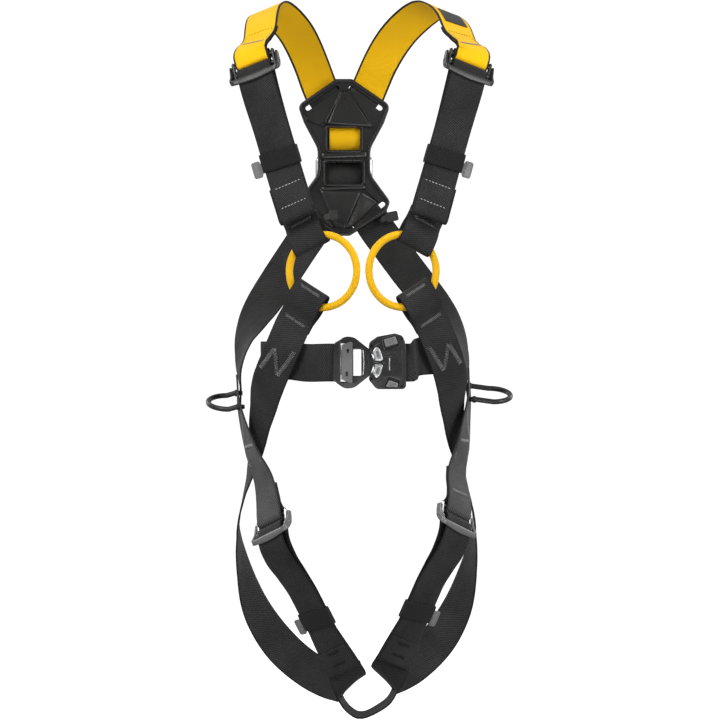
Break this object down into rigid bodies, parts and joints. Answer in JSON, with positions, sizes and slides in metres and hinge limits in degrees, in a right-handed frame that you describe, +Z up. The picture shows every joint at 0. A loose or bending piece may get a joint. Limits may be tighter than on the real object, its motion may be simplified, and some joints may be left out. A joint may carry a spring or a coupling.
{
  "type": "safety harness",
  "caption": "Full-body safety harness of webbing straps with a dorsal ring, sternal and tool loops, strap adjusters and a quick-release waist buckle.",
  "frame": {"origin": "centre of the dorsal ring's opening", "axes": "+Z up, -Y the way the wearer faces, +X to the right as seen from the front"},
  "size_m": [0.373, 0.2762, 0.8738],
  "materials": {
    "webbing_yellow": "woven, black edges",
    "webbing_black": "woven",
    "webbing_grey": "woven",
    "loop_yellow": "woven tube",
    "moulded_black": "semi-gloss",
    "steel_black": "satin",
    "steel_bright": "brushed",
    "tube_black": "smooth",
    "elastic_black": "woven elastic",
    "tab_grey": "matte",
    "plastic_grey": "matte",
    "label": "matte"
  },
  "bodies": {
    "harness": {"adjuster_pin": "steel_bright", "back_strap_left": "webbing_black", "back_strap_right": "webbing_black", "belt_bar": "steel_bright", "blank_labels": "label", "buckle_rear_cover": "moulded_black", "buckle_rivets": "steel_bright", "buckle_shell": "moulded_black", "button_springs": "steel_bright", "chest_adjuster_bail_left": "steel_black", "chest_adjuster_bail_right": "steel_black", "chest_strap_left": "webbing_black", "chest_strap_right": "webbing_black", "dorsal_plate": "moulded_black", "front_thigh_strap_left": "webbing_black", "front_thigh_strap_right": "webbing_black", "jaw_pins": "steel_bright", "lateral_strap_left": "webbing_grey", "lateral_strap_right": "webbing_grey", "leg_adjuster_bail_left": "steel_bright", "leg_adjuster_bail_right": "steel_bright", "lower_crossing": "webbing_black", "rear_thigh_strap_left": "webbing_black", "rear_thigh_strap_right": "webbing_black", "shoulder_strap_left": "webbing_yellow", "shoulder_strap_right": "webbing_yellow", "sub_pelvic_strap": "webbing_black", "tongue": "steel_bright", "tongue_frame": "steel_black", "tool_loop_left": "tube_black", "tool_loop_right": "tube_black", "torso_strap_left": "webbing_black", "torso_strap_right": "webbing_black", "upper_crossing": "webbing_yellow", "waist_belt_left": "webbing_black", "waist_belt_right": "webbing_black"},
    "chest_adjuster_left": {"chest_adjuster_frame_left": "steel_black"},
    "chest_keeper_left": {"chest_keeper_band_left": "elastic_black", "chest_keeper_tab_left": "tab_grey"},
    "chest_adjuster_right": {"chest_adjuster_frame_right": "steel_black"},
    "chest_keeper_right": {"chest_keeper_band_right": "elastic_black", "chest_keeper_tab_right": "tab_grey"},
    "leg_adjuster_left": {"leg_adjuster_frame_left": "steel_bright"},
    "leg_keeper_left": {"leg_keeper_band_left": "elastic_black", "leg_keeper_tab_left": "tab_grey"},
    "leg_adjuster_right": {"leg_adjuster_frame_right": "steel_bright"},
    "leg_keeper_right": {"leg_keeper_band_right": "elastic_black", "leg_keeper_tab_right": "tab_grey"},
    "sternal_loop_left": {"sternal_loop_left": "loop_yellow"},
    "sternal_loop_right": {"sternal_loop_right": "loop_yellow"},
    "dorsal_ring": {"dorsal_ring": "steel_bright"},
    "adjuster_plate": {"adjuster_plate": "plastic_grey"},
    "upper_button": {"buckle_button_upper": "plastic_grey"},
    "upper_jaw": {"buckle_jaw_upper": "steel_bright"},
    "lower_button": {"buckle_button_lower": "plastic_grey"},
    "lower_jaw": {"buckle_jaw_lower": "steel_bright"}
  },
  "joints": [
    {"name": "chest_adjuster_left_lip", "type": "hinge", "parent": "harness", "child": "chest_adjuster_left", "pos_m": [-0.10396, -0.232, 0.134], "axis": [-0.8885, 0.3234, -0.3256], "range_deg": [0, 25]},
    {"name": "chest_keeper_left_slide", "type": "slide", "parent": "harness", "child": "chest_keeper_left", "axis": [-0.2816, 0.0122, 0.9595], "range_m": [0, 0.018]},
    {"name": "chest_adjuster_right_lip", "type": "hinge", "parent": "harness", "child": "chest_adjuster_right", "pos_m": [0.14804, -0.232, 0.134], "axis": [-0.8885, -0.3234, 0.3256], "range_deg": [0, 25]},
    {"name": "chest_keeper_right_slide", "type": "slide", "parent": "harness", "child": "chest_keeper_right", "axis": [0.2691, 0.0123, 0.963], "range_m": [0, 0.018]},
    {"name": "leg_adjuster_left_lip", "type": "hinge", "parent": "harness", "child": "leg_adjuster_left", "pos_m": [-0.08413, -0.195, -0.4115], "axis": [-0.6288, 0.6983, -0.342], "range_deg": [0, 25]},
    {"name": "leg_keeper_left_slide", "type": "slide", "parent": "harness", "child": "leg_keeper_left", "axis": [-0.4423, -0.1534, 0.8836], "range_m": [0, 0.018]},
    {"name": "leg_adjuster_right_lip", "type": "hinge", "parent": "harness", "child": "leg_adjuster_right", "pos_m": [0.13387, -0.195, -0.4025], "axis": [-0.6288, -0.6983, 0.342], "range_deg": [0, 25]},
    {"name": "leg_keeper_right_slide", "type": "slide", "parent": "harness", "child": "leg_keeper_right", "axis": [0.3928, -0.1573, 0.9061], "range_m": [0, 0.018]},
    {"name": "sternal_loop_left_turn", "type": "hinge", "parent": "harness", "child": "sternal_loop_left", "pos_m": [-0.02372, -0.245, -0.10515], "axis": [-0.3746, -0.9272, 0], "range_deg": [-25, 25]},
    {"name": "sternal_loop_right_turn", "type": "hinge", "parent": "harness", "child": "sternal_loop_right", "pos_m": [0.07028, -0.245, -0.10485], "axis": [0.3746, -0.9272, 0], "range_deg": [-25, 25]},
    {"name": "dorsal_ring_swing", "type": "hinge", "parent": "harness", "child": "dorsal_ring", "pos_m": [0, 0, 0.04], "axis": [1, 0, 0], "range_deg": [0, 165]},
    {"name": "adjuster_plate_lift", "type": "hinge", "parent": "harness", "child": "adjuster_plate", "pos_m": [0.0088, -0.2438, -0.213], "axis": [0, 0, 1], "range_deg": [0, 12]},
    {"name": "upper_button_press", "type": "slide", "parent": "harness", "child": "upper_button", "axis": [0, 0, -1], "range_m": [0, 0.0025], "stiffness_N_per_m": 800, "springref_m": -0.001},
    {"name": "upper_jaw_open", "type": "hinge", "parent": "harness", "child": "upper_jaw", "pos_m": [0.052, -0.242, -0.202], "axis": [0, 1, 0], "range_deg": [0, 10.2]},
    {"name": "lower_button_press", "type": "slide", "parent": "harness", "child": "lower_button", "axis": [0, 0, 1], "range_m": [0, 0.0025], "stiffness_N_per_m": 800, "springref_m": -0.001},
    {"name": "lower_jaw_open", "type": "hinge", "parent": "harness", "child": "lower_jaw", "pos_m": [0.052, -0.242, -0.224], "axis": [0, -1, 0], "range_deg": [0, 10.2]}
  ],
  "couplings": [
    {"joint": "upper_jaw_open", "follows": "upper_button_press", "rad_per_m": 69.813},
    {"joint": "lower_jaw_open", "follows": "lower_button_press", "rad_per_m": 69.813}
  ]
}
